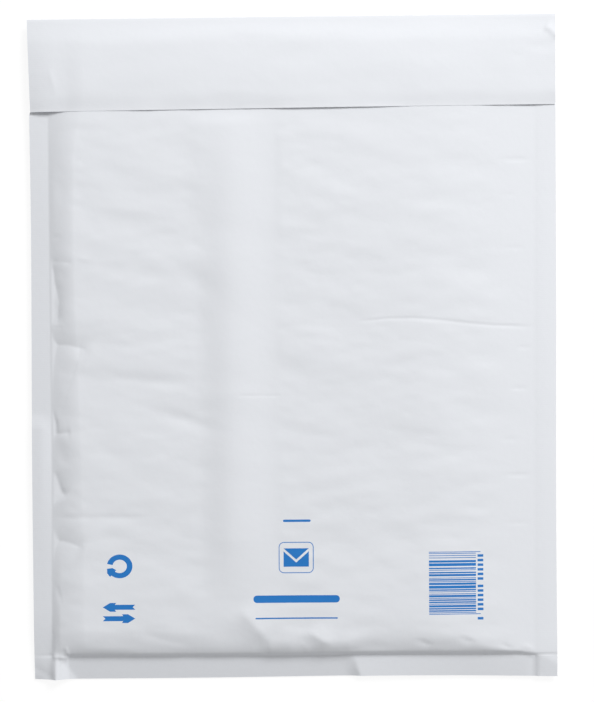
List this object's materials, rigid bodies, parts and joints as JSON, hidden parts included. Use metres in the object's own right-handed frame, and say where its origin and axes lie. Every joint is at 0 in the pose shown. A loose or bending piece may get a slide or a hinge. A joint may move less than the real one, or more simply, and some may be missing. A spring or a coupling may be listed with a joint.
{
  "type": "padded envelope",
  "caption": "Flat white paper mailing envelope lined with bubble film, sealed along its edges, with an unsealed peel-and-stick flap folded over its mouth.",
  "frame": {"origin": "middle of the envelope's box, on the surface that its back lies on", "axes": "+Z out of the front, +Y towards the fold of the flap, +X to the right as the front is read"},
  "size_m": [0.263, 0.331, 0.0091],
  "materials": {
    "white_paper": "matte",
    "bubble_film": "gloss",
    "adhesive": "satin",
    "release_paper": "satin"
  },
  "bodies": {
    "root": {"outer_envelope": "white_paper", "bubble_lining": "bubble_film", "adhesive_strip": "adhesive", "release_liner": "release_paper"}
  },
  "joints": []
}
